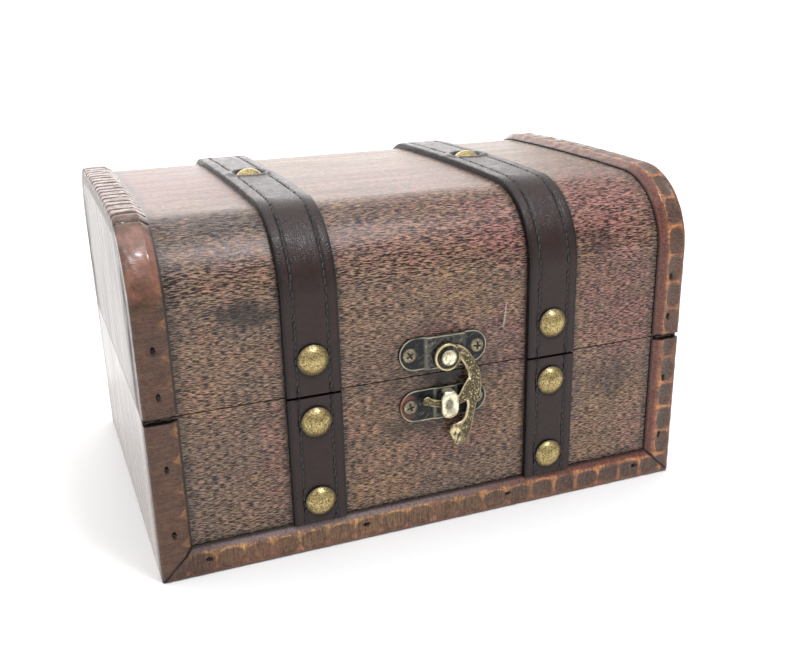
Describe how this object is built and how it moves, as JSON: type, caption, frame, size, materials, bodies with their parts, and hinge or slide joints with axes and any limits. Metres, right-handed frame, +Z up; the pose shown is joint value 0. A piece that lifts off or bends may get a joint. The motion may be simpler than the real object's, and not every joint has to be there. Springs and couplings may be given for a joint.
{
  "type": "treasure chest box",
  "caption": "Small wooden treasure chest box with a rounded hinged lid, edge mouldings, leather straps with domed nails and a swing hook latch.",
  "frame": {"origin": "middle of the underside, on the surface that the box stands on", "axes": "+X along the front to the right, +Y from the front to the back, +Z up"},
  "size_m": [0.2, 0.1514, 0.1233],
  "materials": {
    "stained_plywood": "satin stain",
    "end_board_wood": "satin stain, hazed",
    "bottom_board_wood": "matt",
    "moulding_wood": "satin stain, worn ridges",
    "strap_leather": "semi-gloss",
    "antique_brass": "antique, mottled",
    "latch_plate_brass": "darkened, bright rims",
    "hook_brass": "antique, mottled",
    "screw_steel": "dull",
    "brad_steel": "dark"
  },
  "bodies": {
    "base": {"base_back_left_strap": "strap_leather", "base_back_left_trim": "moulding_wood", "base_back_panel": "stained_plywood", "base_back_right_strap": "strap_leather", "base_back_right_trim": "moulding_wood", "base_back_sill_trim": "moulding_wood", "base_bottom_board": "bottom_board_wood", "base_front_left_strap": "strap_leather", "base_front_left_trim": "moulding_wood", "base_front_panel": "stained_plywood", "base_front_right_strap": "strap_leather", "base_front_right_trim": "moulding_wood", "base_front_sill_trim": "moulding_wood", "base_left_end_board": "end_board_wood", "base_right_end_board": "end_board_wood", "base_strap_studs": "antique_brass", "base_trim_brads": "brad_steel", "hinge_base_screws": "screw_steel", "hinge_left_base_leaf": "antique_brass", "hinge_left_pin": "brad_steel", "hinge_right_base_leaf": "antique_brass", "hinge_right_pin": "brad_steel", "latch_catch_loop": "hook_brass", "latch_catch_plate": "latch_plate_brass", "latch_catch_plate_screws": "screw_steel"},
    "lid": {"hinge_left_lid_leaf": "antique_brass", "hinge_lid_screws": "screw_steel", "hinge_right_lid_leaf": "antique_brass", "latch_pivot_plate": "latch_plate_brass", "latch_pivot_plate_screws": "screw_steel", "latch_pivot_rivet": "hook_brass", "lid_left_end_board": "end_board_wood", "lid_left_strap": "strap_leather", "lid_left_trim": "moulding_wood", "lid_plywood_shell": "stained_plywood", "lid_right_end_board": "end_board_wood", "lid_right_strap": "strap_leather", "lid_right_trim": "moulding_wood", "lid_strap_studs": "antique_brass", "lid_trim_brads": "brad_steel"},
    "latch_hook": {"latch_hook": "hook_brass"}
  },
  "joints": [
    {"name": "lid_hinge", "type": "hinge", "parent": "base", "child": "lid", "pos_m": [0, 0.072, 0.058], "axis": [-1, 0, 0], "range_deg": [0, 110]},
    {"name": "latch_hook_pivot", "type": "hinge", "parent": "lid", "child": "latch_hook", "pos_m": [0.0031, -0.0733, 0.0645], "axis": [0, -1, 0], "range_deg": [0, 58]}
  ]
}
